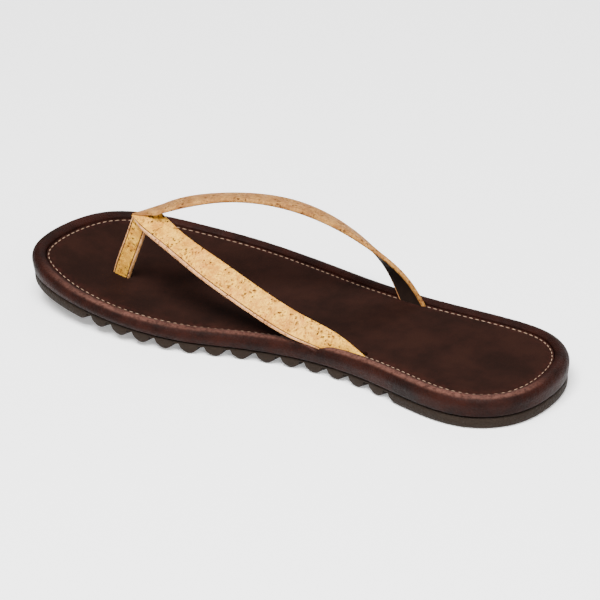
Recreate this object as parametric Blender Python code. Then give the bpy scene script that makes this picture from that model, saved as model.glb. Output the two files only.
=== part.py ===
"""Flat thong sandal for the right foot: rubber outsole, leather wrapped footbed, suede sock and cork cloth straps.

Frame: +X runs from the heel to the toe, +Y to the medial side (the wearer's left), +Z up. The origin is on the
floor, below the middle of the sole's own box. Lengths are written in millimetres and become metres when a mesh
is made. A station is a distance from the heel along X.
"""
import math

import bpy
import numpy as np

MM = 0.001
CURVE_SAMPLES = 1441


def table(columns, *rows):
    """Return a table as a dictionary of named columns, each an array with one value for each row."""
    return dict(zip(columns.split(), np.array(rows, dtype=float).T))


# Sole, seen from above: half widths at each station, measured from the line through the heel.
SOLE_LENGTH = 255.0
SOLE_RUNGS = 46
HEEL_TIP_Y = 1.0
TOE_TIP_Y = 14.0
OUTLINE = table(
    "station medial lateral",
    (5.0, 22.0, 21.0),
    (20.0, 34.5, 34.5),
    (42.0, 36.4, 37.7),
    (72.0, 30.6, 37.3),
    (102.0, 28.4, 38.7),
    (132.0, 33.0, 43.0),
    (160.0, 41.8, 47.2),
    (185.0, 46.8, 46.8),
    (208.0, 46.8, 43.0),
    (228.0, 43.6, 36.4),
    (244.0, 37.0, 24.6),
    (252.0, 28.4, 9.0),
)

# Height of the whole sole, from the floor side of the lugs to the top of the rim.
THICKNESS = table(
    "station thickness",
    (0.0, 14.6),
    (50.0, 14.8),
    (100.0, 13.6),
    (150.0, 12.4),
    (190.0, 11.7),
    (215.0, 11.8),
    (238.0, 13.4),
    (255.0, 15.6),
)

# Toe spring: the sole is flat on the floor up to this station and then curls up.
SPRING_START = 158.0
SPRING_RISE = 9.4
SPRING_POWER = 1.25

# Outsole.
OUTSOLE_THICKNESS = 5.2
OUTSOLE_INSET = 1.0
GROOVE_COUNT = 14
GROOVE_PITCH = 11.12
FIRST_GROOVE = 209.0
GROOVE_DEPTH = 3.4
PAD_MARGIN = 4.5
PAD_RUNGS = 10
# Half a groove's section, out from its middle: a low ridge, the floor, and a wall that leans out to the lug.
GROOVE_SECTION = table(
    "offset share",
    (0.5, 0.88),
    (1.2, 1.0),
    (1.8, 0.35),
    (2.6, 0.0),
)
# The outsole's wall from its lower edge up, with its height above the floor over a lug and over a groove.
OUTSOLE_WALL = table(
    "inset lug groove",
    (2.4, 0.0, GROOVE_DEPTH),
    (1.4, 0.8, GROOVE_DEPTH + 0.15),
    (OUTSOLE_INSET, 2.2, GROOVE_DEPTH + 0.4),
    (OUTSOLE_INSET, 4.3, 4.5),
    (1.5, OUTSOLE_THICKNESS, OUTSOLE_THICKNESS),
)

# Footbed and sock. Drops are measured down from the top of the rim.
GAP = 0.3
ROLL_RADIUS = 4.2
ROLL_STEPS = 6
WAIST_INSET = 1.9
WAIST_FLARE = 1.2
WAIST_RISE = 0.5
# The inner side of the roll, down to the seat.
ROLL_INNER = table(
    "inset drop",
    (5.8, 0.75),
    (6.3, 1.3),
)
SEAT_EDGE = 6.3
SEAT_LEAN = 0.02
SOCK_THICKNESS = 1.3
SOCK_TOP = table(
    "inset drop",
    (6.6, 1.9),
    (6.9, 1.55),
    (7.6, 2.0),
    (9.2, 1.5),
    (13.0, 1.45),
)
# The part of the sock inside its turned edge, which has the seat below it.
SOCK_INNER = list(zip(*SOCK_TOP.values()))[2:]
SOCK_EDGE = 0.9
CUP_DEPTH = 0.9
CUP_STEPS = 6
CUP_LEAST = 0.35
CUP_DEEPEST = 35.0
CUP_PERIOD = 150.0
CUP_FADE = 32.0

# Straps: a flat band with rounded edges, swept along a smooth curve through these points. Facing is the angle
# between straight up and the cork face, turned towards the strap's own side of the foot.
STRAP_WIDTH = 12.5
STRAP_WALL = 2.4
POST_WIDTH = 8.5
POST_WALL = 2.4
EDGE_RADIUS = 0.9
EDGE_STEPS = 2
SHARP_ANGLE = 35.0
STRAP_STEPS = 30
POST_STEPS = 12
NOSE_STEPS = 5
NOSE_FIRST_TURN = 0.12
MEDIAL_PATH = table(
    "station side height facing",
    (197.2, 16.0, 44.9, 2.0),
    (188.0, 18.6, 44.5, 4.0),
    (176.0, 20.8, 42.1, 8.0),
    (158.0, 22.8, 36.5, 14.0),
    (132.0, 25.2, 27.4, 24.0),
    (112.0, 25.0, 20.4, 38.0),
    (98.0, 23.2, 14.8, 60.0),
    (84.0, 21.3, 7.4, 78.0),
)
LATERAL_PATH = table(
    "station side height facing",
    (197.2, 16.0, 44.9, 2.0),
    (188.0, 12.0, 50.6, 11.0),
    (168.0, -0.4, 55.4, 14.0),
    (138.0, -15.8, 51.0, 9.0),
    (113.0, -26.0, 36.6, 22.0),
    (97.0, -30.0, 22.6, 52.0),
    (88.5, -30.8, 7.6, 84.0),
)
POST_PATH = table(
    "station side height facing",
    (199.6, 16.2, 44.5, 90.0),
    (206.6, 16.0, 28.0, 90.0),
    (212.1, 15.7, 15.0, 90.0),
    (213.6, 15.7, 9.8, 90.0),
)
# The tails run on straight past their last point and are trimmed level with the underside of the footbed.
TAIL_REACH = 16.0
SLOT_CLEARANCE = 0.4
SLOT_REACH = 18.0
# The block that trims the tails reaches this far below the footbed.
TRIM_DEPTH = 20.0

# Colours, as linear red, green and blue, with roughness.
FINISHES = {
    "outsole": ((0.062, 0.045, 0.036), 0.75),
    "footbed": ((0.052, 0.018, 0.013), 0.38),
    "sock": ((0.026, 0.011, 0.008), 0.92),
    "upper": ((0.68, 0.45, 0.25), 0.66),
}


def spline_tangents(knots, points, closed):
    """Return the tangents that make a curve through the points smooth to the second order."""
    count = len(points)
    matrix = np.zeros((count, count))
    right = np.zeros_like(points)
    steps = np.diff(knots)
    for row in range(count):
        if not closed and row in (0, count - 1):
            # A free end: the curve leaves its last point without bending.
            near = 1 if row == 0 else count - 2
            matrix[row, row], matrix[row, near] = 2.0, 1.0
            right[row] = 3.0 * (points[near] - points[row]) / (knots[near] - knots[row])
            continue
        before, after = steps[row - 1], steps[row % len(steps)]
        last, following = (row - 1) % count, (row + 1) % count
        matrix[row, last] += 1.0 / before
        matrix[row, row] += 2.0 / before + 2.0 / after
        matrix[row, following] += 1.0 / after
        right[row] = 3.0 * ((points[row] - points[last]) / before**2
                            + (points[following] - points[row]) / after**2)
    return np.linalg.solve(matrix, right)


def smooth_curve(points, count, closed=False, spacing=0.6):
    """Sample a smooth curve through the points at count places, even in the curve's own parameter."""
    points = np.array(points, dtype=float)
    ring = np.vstack([points, points[:1]]) if closed else points
    chords = np.linalg.norm(np.diff(ring[:, :3], axis=0), axis=1) ** spacing
    knots = np.concatenate([[0.0], np.cumsum(chords)])
    tangents = spline_tangents(knots, points, closed)
    if closed:
        tangents = np.vstack([tangents, tangents[:1]])
    places = np.linspace(0.0, knots[-1], count)
    span = np.clip(np.searchsorted(knots, places, side="right") - 1, 0, len(knots) - 2)
    width = (knots[span + 1] - knots[span])[:, None]
    u = (places[:, None] - knots[span][:, None]) / width
    return ((2 * u**3 - 3 * u**2 + 1) * ring[span] + (u**3 - 2 * u**2 + u) * width * tangents[span]
            + (3 * u**2 - 2 * u**3) * ring[span + 1] + (u**3 - u**2) * width * tangents[span + 1])


def sole_curve():
    """Return the sole's outline as a dense closed curve, from the heel along the lateral side and back."""
    stations, medial, lateral = OUTLINE["station"], OUTLINE["medial"], OUTLINE["lateral"]
    points = [(0.0, HEEL_TIP_Y)]
    points += list(zip(stations, -lateral))
    points.append((SOLE_LENGTH, TOE_TIP_Y))
    points += list(zip(stations[::-1], medial[::-1]))
    curve = smooth_curve(points, CURVE_SAMPLES, closed=True)[:-1]
    curve = np.roll(curve, -int(np.argmin(curve[:, 0])), axis=0)
    return np.vstack([curve, curve[:1]])


SOLE_CURVE = sole_curve()
CENTRE_X = (SOLE_CURVE[:, 0].min() + SOLE_CURVE[:, 0].max()) / 2
CENTRE_Y = (SOLE_CURVE[:, 1].min() + SOLE_CURVE[:, 1].max()) / 2
THICKNESS_CURVE = smooth_curve(np.column_stack(list(THICKNESS.values())), CURVE_SAMPLES)


def floor_side(station):
    """Height of the sole's lower face, without its grooves, above the floor."""
    share = np.clip((station - SPRING_START) / (SOLE_LENGTH - SPRING_START), 0.0, None)
    return SPRING_RISE * share**SPRING_POWER


def rim_top(station):
    """Height of the top of the rim above the floor."""
    return floor_side(station) + np.interp(station, THICKNESS_CURVE[:, 0], THICKNESS_CURVE[:, 1])


def groove_share(station):
    """Share of the groove depth that is cut away at a station: 0 on a lug or a pad, 1 on a groove's floor."""
    nearest = np.clip(np.round((FIRST_GROOVE - station) / GROOVE_PITCH), 0, GROOVE_COUNT - 1)
    offset = np.abs(station - (FIRST_GROOVE - nearest * GROOVE_PITCH))
    return np.interp(offset, GROOVE_SECTION["offset"], GROOVE_SECTION["share"])


class Ring:
    """Pairs of points on both sides of the sole at the same stations, with one tip at the heel and one at the toe.

    The points run from the heel tip along the lateral side to the toe tip and back along the medial side.
    """

    def __init__(self, stations):
        curve = SOLE_CURVE
        toe = int(np.argmax(curve[:, 0]))
        step = np.gradient(curve, axis=0)
        step /= np.linalg.norm(step, axis=1)[:, None]
        inward = np.column_stack([-step[:, 1], step[:, 0]])
        inward[0] = inward[-1] = (1.0, 0.0)
        inward[toe] = (-1.0, 0.0)
        order = np.arange(len(curve), dtype=float)
        lateral = np.interp(stations, curve[:toe + 1, 0], order[:toe + 1])
        medial = np.interp(stations, curve[toe:, 0][::-1], order[toe:][::-1])
        places = np.concatenate([[0.0], lateral, [float(toe)], medial[::-1]])
        self.points = np.column_stack([np.interp(places, order, curve[:, axis]) for axis in range(2)])
        self.inward = np.column_stack([np.interp(places, order, inward[:, axis]) for axis in range(2)])
        self.inward /= np.linalg.norm(self.inward, axis=1)[:, None]
        self.stations = self.points[:, 0].copy()
        self.rungs = len(stations)

    def inset(self, distance):
        """Return the points moved inwards by a distance, as rows of x and y."""
        return self.points + self.inward * distance


class Shell:
    """Vertices and faces of one closed solid, gathered ring by ring from its lower middle to its upper middle."""

    def __init__(self, ring):
        self.ring = ring
        self.vertices = []
        self.faces = []
        self.last = None

    def add_points(self, rows):
        """Add rows of x, y, z and return their numbers."""
        first = len(self.vertices)
        self.vertices.extend(tuple(row) for row in rows)
        return list(range(first, len(self.vertices)))

    def add_ring(self, inset, heights):
        """Add the ring at an inset with a height for each point, and join it to the ring before."""
        plan = self.ring.inset(inset)
        ids = self.add_points(np.column_stack([plan, heights(plan[:, 0]) if callable(heights) else heights]))
        if self.last is not None:
            for here in range(len(ids)):
                after = (here + 1) % len(ids)
                self.faces.append((self.last[here], self.last[after], ids[after], ids[here]))
        self.last = ids
        return ids

    def cap(self, ids, upwards, steps=1, sag=None):
        """Close a ring with rungs from side to side, each in a number of steps, lowered by sag(x, share)."""
        rungs = self.ring.rungs
        heel, toe = ids[0], ids[rungs + 1]
        rows = []
        for rung in range(1, rungs + 1):
            lateral, medial = ids[rung], ids[-rung]
            start, end = np.array(self.vertices[lateral]), np.array(self.vertices[medial])
            row = [lateral]
            for step in range(1, steps):
                share = step / steps
                point = start + (end - start) * share
                point[2] -= sag(point[0], share)
                row += self.add_points([point])
            rows.append(row + [medial])
        found = []
        for one, two in zip(rows[:-1], rows[1:]):
            found += [(one[k], two[k], two[k + 1], one[k + 1]) for k in range(steps)]
        found += [(heel, rows[0][k], rows[0][k + 1]) for k in range(steps)]
        found += [(rows[-1][k], toe, rows[-1][k + 1]) for k in range(steps)]
        self.faces += found if upwards else [face[::-1] for face in found]


def end_stations(first, last, count):
    """Return stations that crowd towards an end of the sole at first and open out towards last."""
    turn = np.linspace(0.0, math.pi / 2, count + 1)[1:]
    return first + (last - first) * (1.0 - np.cos(turn))


def even_stations(count):
    """Return stations along the whole sole that crowd at both rounded ends."""
    turn = np.linspace(0.0, math.pi, count + 2)[1:-1]
    return SOLE_LENGTH * (1.0 - np.cos(turn)) / 2


def groove_stations():
    """Return the stations of the outsole: both pads and every corner of every groove."""
    corners = []
    for index in range(GROOVE_COUNT):
        middle = FIRST_GROOVE - index * GROOVE_PITCH
        corners += [middle + side * offset for offset in GROOVE_SECTION["offset"] for side in (-1, 1)]
    corners = sorted(corners)
    heel = end_stations(0.0, corners[0] - PAD_MARGIN, PAD_RUNGS)
    toe = end_stations(SOLE_LENGTH, corners[-1] + PAD_MARGIN, PAD_RUNGS)[::-1]
    return np.concatenate([heel, corners, toe])


def make_object(name, vertices, faces):
    """Make a smooth shaded object from points in millimetres measured from the heel."""
    shifted = [((x - CENTRE_X) * MM, (y - CENTRE_Y) * MM, z * MM) for x, y, z in vertices]
    mesh = bpy.data.meshes.new(name)
    mesh.from_pydata(shifted, [], faces)
    mesh.validate()
    mesh.shade_smooth()
    mesh.set_sharp_from_angle(angle=math.radians(SHARP_ANGLE))
    thing = bpy.data.objects.new(name, mesh)
    bpy.context.scene.collection.objects.link(thing)
    return thing


def make_outsole():
    """Build the rubber outsole with its pads, lugs and grooves."""
    ring = Ring(groove_stations())
    shell = Shell(ring)
    share = groove_share(ring.stations)
    first = None
    for inset, over_lug, over_groove in zip(*OUTSOLE_WALL.values()):
        plan = ring.inset(inset)
        ids = shell.add_ring(inset, floor_side(plan[:, 0]) + over_lug + (over_groove - over_lug) * share)
        first = first or ids
    shell.cap(first, upwards=False)
    shell.cap(shell.last, upwards=True)
    return make_object("outsole", shell.vertices, shell.faces)


def roll_section():
    """Return rows of inset and drop round the outer side of the rim's roll, from its widest line to its top."""
    rows = []
    for step in range(ROLL_STEPS + 1):
        turn = math.pi / 2 * step / ROLL_STEPS
        rows.append((ROLL_RADIUS * (1 - math.cos(turn)), ROLL_RADIUS * (1 - math.sin(turn))))
    return rows


def sock_sag(station, share):
    """How far the sock dips below its own edge across the foot, most at the heel and under the ball."""
    along = CUP_LEAST + (1 - CUP_LEAST) * math.cos(math.pi * (station - CUP_DEEPEST) / CUP_PERIOD) ** 2
    end = min(1.0, min(station, SOLE_LENGTH - station) / CUP_FADE - SEAT_EDGE / CUP_FADE)
    return CUP_DEPTH * along * math.sin(math.pi * share) ** 2 * math.sin(math.pi / 2 * max(end, 0.0)) ** 2


def make_footbed():
    """Build the wrapped footbed: waist, rolled rim and the seat for the sock."""
    shell = Shell(Ring(even_stations(SOLE_RUNGS)))
    lowest = OUTSOLE_THICKNESS + GAP

    def above_outsole(rise):
        return lambda x: floor_side(x) + lowest + rise

    def below_top(drop):
        return lambda x: rim_top(x) - drop

    bottom = shell.add_ring(WAIST_INSET, above_outsole(0.0))
    shell.add_ring(WAIST_INSET - WAIST_FLARE, above_outsole(WAIST_RISE))
    for inset, drop in roll_section():
        shell.add_ring(inset, below_top(drop))
    seat = SOCK_THICKNESS + GAP
    for inset, drop in zip(*ROLL_INNER.values()):
        shell.add_ring(inset, below_top(drop))
    shell.add_ring(SEAT_EDGE + SEAT_LEAN, below_top(SOCK_TOP["drop"][0] + SOCK_EDGE + GAP))
    for inset, drop in SOCK_INNER:
        shell.add_ring(inset, below_top(drop + seat))
    shell.cap(shell.last, True, CUP_STEPS, sock_sag)
    shell.cap(bottom, upwards=False)
    return make_object("footbed", shell.vertices, shell.faces)


def make_sock():
    """Build the suede sock that fills the seat of the footbed."""
    shell = Shell(Ring(even_stations(SOLE_RUNGS)))

    def below_top(drop):
        return lambda x: rim_top(x) - drop

    under = [shell.add_ring(inset, below_top(drop + SOCK_THICKNESS)) for inset, drop in SOCK_INNER[::-1]]
    shell.add_ring(SOCK_TOP["inset"][0], below_top(SOCK_TOP["drop"][0] + SOCK_EDGE))
    for inset, drop in zip(*SOCK_TOP.values()):
        shell.add_ring(inset, below_top(drop))
    shell.cap(shell.last, True, CUP_STEPS, sock_sag)
    shell.cap(under[0], False, CUP_STEPS, sock_sag)
    return make_object("sock", shell.vertices, shell.faces)


def band_section(width, wall):
    """Return the corners of a flat band's section as rows of across and through, in order round it."""
    radius = EDGE_RADIUS
    rows = []
    for quarter in range(4):
        across = (width / 2 - radius) * (1 if quarter in (0, 3) else -1)
        through = (wall / 2 - radius) * (1 if quarter in (0, 1) else -1)
        for step in range(EDGE_STEPS + 1):
            turn = math.pi / 2 * (quarter + step / EDGE_STEPS)
            rows.append((across + radius * math.cos(turn), through + radius * math.sin(turn)))
    return np.array(rows)


def band_frames(path, steps, side):
    """Return places along a strap with the directions across it, towards the toe, and out of its cork face."""
    samples = smooth_curve(np.column_stack(list(path.values())), steps + 1, spacing=1.0)
    centre = samples[:, :3]
    along = np.gradient(centre, axis=0)
    along /= np.linalg.norm(along, axis=1)[:, None]
    facing = np.radians(samples[:, 3])
    outward = np.column_stack([np.zeros(len(facing)), side * np.sin(facing), np.cos(facing)])
    across = np.cross(along, outward) * side
    across /= np.linalg.norm(across, axis=1)[:, None]
    normal = np.cross(across, along) * side
    return centre, across, normal, along


def sweep_band(path, width, wall, steps, side, nose=False, reach=0.0):
    """Return the vertices and faces of a band along a path, with a round nose at its start if asked.

    Reach lengthens the band past the end of its path, which a slot needs.
    """
    centre, across, normal, along = band_frames(path, steps, side)
    scale = np.ones(len(centre))
    if nose:
        turns = np.linspace(NOSE_FIRST_TURN, math.pi / 2, NOSE_STEPS + 1)[:-1]
        ahead = centre[0] - along[0] * (width / 2) * np.cos(turns)[:, None]
        centre = np.vstack([ahead, centre])
        across, normal = (np.vstack([np.repeat(part[:1], NOSE_STEPS, axis=0), part]) for part in (across, normal))
        scale = np.concatenate([np.sin(turns), scale])
    if reach:
        centre = np.vstack([centre, centre[-1] + along[-1] * reach])
        across, normal = (np.vstack([part, part[-1:]]) for part in (across, normal))
        scale = np.append(scale, 1.0)
    section = band_section(width, wall)
    corners = len(section)
    vertices, faces = [], []
    for place in range(len(centre)):
        for sideways, through in section:
            vertices.append(centre[place] + across[place] * sideways * scale[place] + normal[place] * through)
    for place in range(len(centre) - 1):
        for corner in range(corners):
            after = (corner + 1) % corners
            low, high = place * corners, (place + 1) * corners
            faces.append((low + corner, low + after, high + after, high + corner))
    faces.append(tuple(range(corners))[::-1])
    faces.append(tuple(range(len(vertices) - corners, len(vertices))))
    # Seen along the band, its section runs the other way round on the medial side.
    return vertices, [face[::-1] for face in faces] if side > 0 else faces


def make_helper(name, vertices, faces):
    """Make an object that only cuts or joins another one."""
    helper = make_object(name, vertices, faces)
    helper.hide_render = True
    helper.display_type = "WIRE"
    return helper


def add_boolean(thing, helper, operation):
    """Cut the helper from the object, or join it on, with the exact solver."""
    modifier = thing.modifiers.new(f"{operation.lower()} {helper.name}", "BOOLEAN")
    modifier.operation = operation
    modifier.solver = "EXACT"
    modifier.object = helper


def make_tail_trim():
    """Build the block below the footbed that trims the tails of the straps level with its underside."""
    shell = Shell(Ring(even_stations(SOLE_RUNGS)))
    lower = shell.add_ring(WAIST_INSET, lambda x: floor_side(x) + OUTSOLE_THICKNESS + GAP - TRIM_DEPTH)
    shell.add_ring(WAIST_INSET, lambda x: floor_side(x) + OUTSOLE_THICKNESS + GAP)
    shell.cap(lower, upwards=False)
    shell.cap(shell.last, upwards=True)
    return make_helper("tail_trim", shell.vertices, shell.faces)


def make_upper():
    """Build the straps as one solid: medial strap, lateral strap and thong post."""
    medial, lateral = (
        sweep_band(path, STRAP_WIDTH, STRAP_WALL, STRAP_STEPS, side, nose=True, reach=TAIL_REACH)
        for path, side in ((MEDIAL_PATH, 1), (LATERAL_PATH, -1))
    )
    post = sweep_band(POST_PATH, POST_WIDTH, POST_WALL, POST_STEPS, 1, reach=TAIL_REACH)
    upper = make_object("upper", *medial)
    add_boolean(upper, make_helper("join_lateral", *lateral), "UNION")
    add_boolean(upper, make_helper("join_post", *post), "UNION")
    add_boolean(upper, make_tail_trim(), "DIFFERENCE")
    return upper


def cut_slots(footbed, sock):
    """Cut the three slots that the straps pass through."""
    grow = 2 * SLOT_CLEARANCE
    tails = {
        "medial": (MEDIAL_PATH, STRAP_WIDTH, STRAP_WALL, STRAP_STEPS, 1),
        "lateral": (LATERAL_PATH, STRAP_WIDTH, STRAP_WALL, STRAP_STEPS, -1),
        "post": (POST_PATH, POST_WIDTH, POST_WALL, POST_STEPS, 1),
    }
    for name, (path, width, wall, steps, side) in tails.items():
        shape = sweep_band(path, width + grow, wall + grow, steps, side, reach=SLOT_REACH)
        cutter = make_helper(f"slot_{name}", *shape)
        add_boolean(footbed, cutter, "DIFFERENCE")
        add_boolean(sock, cutter, "DIFFERENCE")


def finish(thing):
    """Give an object its own material in the colour of the real piece."""
    colour, roughness = FINISHES[thing.name]
    material = bpy.data.materials.new(f"{thing.name}_finish")
    material.use_nodes = True
    shader = material.node_tree.nodes["Principled BSDF"]
    shader.inputs["Base Color"].default_value = (*colour, 1.0)
    shader.inputs["Roughness"].default_value = roughness
    shader.inputs["Metallic"].default_value = 0.0
    thing.data.materials.append(material)


def main():
    """Clear the scene and build the sandal."""
    for thing in list(bpy.data.objects):
        bpy.data.objects.remove(thing, do_unlink=True)
    outsole, footbed, sock, upper = make_outsole(), make_footbed(), make_sock(), make_upper()
    cut_slots(footbed, sock)
    for thing in (outsole, footbed, sock, upper):
        finish(thing)


main()
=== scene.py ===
"""Looks of the right foot's thong sandal: tread, wrapped footbed, suede sock, stitches and cork straps.

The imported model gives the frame: +X to the toe, +Y to the medial side, +Z up, the floor at zero. A station
is a distance from the heel along X. Routes and sections are written in millimetres, and a mesh is made in
metres.
"""

import logging
import math
from contextlib import contextmanager
from dataclasses import dataclass, field
from enum import Enum
from functools import cache
from typing import Iterator, Sequence

import bpy
import numpy as np
from mathutils import Matrix, Vector
from mathutils.bvhtree import BVHTree


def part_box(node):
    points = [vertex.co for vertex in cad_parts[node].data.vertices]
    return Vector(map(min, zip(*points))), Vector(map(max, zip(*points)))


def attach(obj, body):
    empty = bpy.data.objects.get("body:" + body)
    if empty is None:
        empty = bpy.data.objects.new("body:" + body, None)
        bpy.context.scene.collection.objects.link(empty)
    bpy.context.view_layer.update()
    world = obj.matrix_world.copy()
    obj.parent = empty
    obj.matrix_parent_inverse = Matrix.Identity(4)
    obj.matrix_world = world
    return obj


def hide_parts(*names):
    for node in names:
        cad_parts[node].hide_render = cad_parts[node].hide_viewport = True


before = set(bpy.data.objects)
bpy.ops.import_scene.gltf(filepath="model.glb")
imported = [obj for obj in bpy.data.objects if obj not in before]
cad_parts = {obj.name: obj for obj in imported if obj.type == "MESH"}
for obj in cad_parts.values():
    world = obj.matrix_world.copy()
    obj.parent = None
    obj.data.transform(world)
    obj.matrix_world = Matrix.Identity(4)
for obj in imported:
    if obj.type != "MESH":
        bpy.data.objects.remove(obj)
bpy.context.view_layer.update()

logging.basicConfig(level=logging.INFO, format="%(message)s")
log = logging.getLogger("sandal")

MM = 0.001
HEEL_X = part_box("footbed")[0].x
MIDDLE_Y = 0.145 * MM
# Corners nearer than this are one corner, in a solid's copy and in a grid.
COPY_MERGE = 0.002 * MM
GRID_MERGE = 0.004 * MM
# Two triangles of a solid join into a quad where they turn by less than this and its corners are even enough.
FLAT_ANGLE = math.radians(25.0)
CORNER_ANGLE = math.radians(50.0)
WHITE = (1.0, 1.0, 1.0, 1.0)

Colour = tuple[float, float, float]
Stretch = tuple[float, float, float]
Row = tuple[float, ...]
UNSTRETCHED: Stretch = (1.0, 1.0, 1.0)


def to_frame(points: np.ndarray) -> np.ndarray:
    """Turn rows of station, side and height in millimetres into rows of x, y and z in metres."""
    return np.asarray(points, dtype=float) * MM + np.array([HEEL_X, MIDDLE_Y, 0.0])


def spline_tangents(knots: np.ndarray, points: np.ndarray, closed: bool) -> np.ndarray:
    """Work out the tangents of the smooth curve through some points.

    Args:
        knots: the curve's parameter at each point, and once more at the first if it is closed.
        points: one row for each point.
        closed: whether the curve comes back to its first point.

    Returns:
        One tangent for each point.
    """
    count = len(points)
    matrix = np.zeros((count, count))
    right = np.zeros_like(points)
    steps = np.diff(knots)
    for row in range(count):
        if not closed and row in (0, count - 1):
            near = 1 if row == 0 else count - 2
            matrix[row, row], matrix[row, near] = 2.0, 1.0
            right[row] = 3.0 * (points[near] - points[row]) / (knots[near] - knots[row])
            continue
        before, after = steps[row - 1], steps[row % len(steps)]
        last, following = (row - 1) % count, (row + 1) % count
        matrix[row, last] += 1.0 / before
        matrix[row, row] += 2.0 / before + 2.0 / after
        matrix[row, following] += 1.0 / after
        right[row] = 3.0 * ((points[row] - points[last]) / before**2
                            + (points[following] - points[row]) / after**2)
    return np.linalg.solve(matrix, right)


def smooth_curve(rows: Sequence[Row], count: int, closed: bool = False, spacing: float = 1.0) -> np.ndarray:
    """Sample a smooth curve through some points.

    Args:
        rows: the points, of any number of columns.
        count: how many samples to take, even in the curve's own parameter.
        closed: whether the curve comes back to its first point.
        spacing: the power of the chord between two points that sets the parameter's step.

    Returns:
        One row for each sample.
    """
    points = np.array(rows, dtype=float)
    ring = np.vstack([points, points[:1]]) if closed else points
    chords = np.linalg.norm(np.diff(ring[:, :3], axis=0), axis=1) ** spacing
    knots = np.concatenate([[0.0], np.cumsum(chords)])
    tangents = spline_tangents(knots, points, closed)
    if closed:
        tangents = np.vstack([tangents, tangents[:1]])
    places = np.linspace(0.0, knots[-1], count)
    span = np.clip(np.searchsorted(knots, places, side="right") - 1, 0, len(knots) - 2)
    width = (knots[span + 1] - knots[span])[:, None]
    u = (places[:, None] - knots[span][:, None]) / width
    return ((2 * u**3 - 3 * u**2 + 1) * ring[span] + (u**3 - 2 * u**2 + u) * width * tangents[span]
            + (3 * u**2 - 2 * u**3) * ring[span + 1] + (u**3 - u**2) * width * tangents[span + 1])


def activate(thing: bpy.types.Object) -> None:
    """Select one object alone and make it the active one."""
    bpy.ops.object.select_all(action="DESELECT")
    thing.select_set(True)
    bpy.context.view_layer.objects.active = thing


@contextmanager
def editing(thing: bpy.types.Object, kind: str = "FACE") -> Iterator[None]:
    """Open an object in edit mode with all of it selected, and close it again.

    Args:
        thing: the object to edit.
        kind: what is selected: VERT, EDGE or FACE.
    """
    activate(thing)
    bpy.ops.object.mode_set(mode="EDIT")
    bpy.ops.mesh.select_mode(type=kind)
    bpy.ops.mesh.select_all(action="SELECT")
    yield
    bpy.ops.object.mode_set(mode="OBJECT")


def apply_modifier(thing: bpy.types.Object, kind: str, **settings: object) -> None:
    """Add a modifier to an object and apply it at once.

    Args:
        thing: the object.
        kind: the modifier's type.
        settings: the modifier's own settings.
    """
    activate(thing)
    modifier = thing.modifiers.new(kind.title(), kind)
    for name, value in settings.items():
        setattr(modifier, name, value)
    bpy.ops.object.modifier_apply(modifier=modifier.name)


def smooth(thing: bpy.types.Object, angle: float) -> None:
    """Shade an object smooth wherever two faces turn by less than an angle in degrees."""
    activate(thing)
    bpy.ops.object.shade_smooth_by_angle(angle=math.radians(angle))


def read_points(thing: bpy.types.Object) -> np.ndarray:
    """Return a mesh's vertices as rows of x, y and z."""
    flat = np.zeros(len(thing.data.vertices) * 3)
    thing.data.vertices.foreach_get("co", flat)
    return flat.reshape(-1, 3)


def write_points(thing: bpy.types.Object, points: np.ndarray) -> None:
    """Move a mesh's vertices to rows of x, y and z."""
    thing.data.vertices.foreach_set("co", np.asarray(points, dtype=float).ravel())
    thing.data.update()


def add_measure(thing: bpy.types.Object, name: str, values: np.ndarray) -> None:
    """Store one number for each vertex under a name that a finish can read."""
    attribute = thing.data.attributes.new(name, "FLOAT", "POINT")
    attribute.data.foreach_set("value", np.asarray(values, dtype=np.float32))


def copy_node(node: str, name: str) -> bpy.types.Object:
    """Copy a solid of the frame into a new piece, with its loose triangles merged and joined into quads.

    Args:
        node: the solid's name.
        name: the new piece's name.

    Returns:
        The new piece, which rides on nothing yet.
    """
    activate(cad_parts[node])
    bpy.ops.object.duplicate(linked=False)
    piece = bpy.context.active_object
    piece.name = piece.data.name = name
    piece.parent = None
    for key in list(piece.keys()):
        del piece[key]
    piece.data.materials.clear()
    with editing(piece):
        bpy.ops.mesh.remove_doubles(threshold=COPY_MERGE)
        bpy.ops.mesh.tris_convert_to_quads(face_threshold=FLAT_ANGLE, shape_threshold=CORNER_ANGLE)
    return piece


def lay_grid(name: str, rows: np.ndarray, kinds: Sequence[int] = ()) -> bpy.types.Object:
    """Add a grid, lay it over rows of places and merge the corners that meet.

    Args:
        name: the new piece's name.
        rows: places by row and column, in millimetres from the heel. A closed shape repeats its first ones.
        kinds: the number of the finish between each row and the next, if there is more than one finish.

    Returns:
        The new piece, with its faces outwards.
    """
    down, along = rows.shape[0] - 1, rows.shape[1] - 1
    bpy.ops.object.select_all(action="DESELECT")
    bpy.ops.mesh.primitive_grid_add(x_subdivisions=along, y_subdivisions=down, size=1.0)
    piece = bpy.context.active_object
    piece.name = piece.data.name = name
    grid = read_points(piece) + 0.5
    if kinds:
        middle = np.array([grid[list(face.vertices), 1].mean() for face in piece.data.polygons])
        strip = (middle * down).astype(int)
        piece.data.polygons.foreach_set("material_index", np.array(kinds, dtype=np.int32)[strip])
    column, row = np.rint(grid[:, :2] * (along, down)).astype(int).T
    write_points(piece, to_frame(rows[row, column]))
    with editing(piece, "VERT"):
        bpy.ops.mesh.remove_doubles(threshold=GRID_MERGE)
        bpy.ops.mesh.normals_make_consistent(inside=False)
    return piece


def settle(piece: bpy.types.Object, slot: str, *replaced: str) -> None:
    """Let a finished piece ride on the sandal and stand for the solids that it replaces.

    Args:
        piece: the finished piece.
        slot: the material slot that its finish belongs to, which is not used.
        replaced: the names of the solids that it stands for.
    """
    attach(piece, "root")
    if replaced:
        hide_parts(*replaced)
    log.info("%s: %d faces", piece.name, len(piece.data.polygons))


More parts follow.
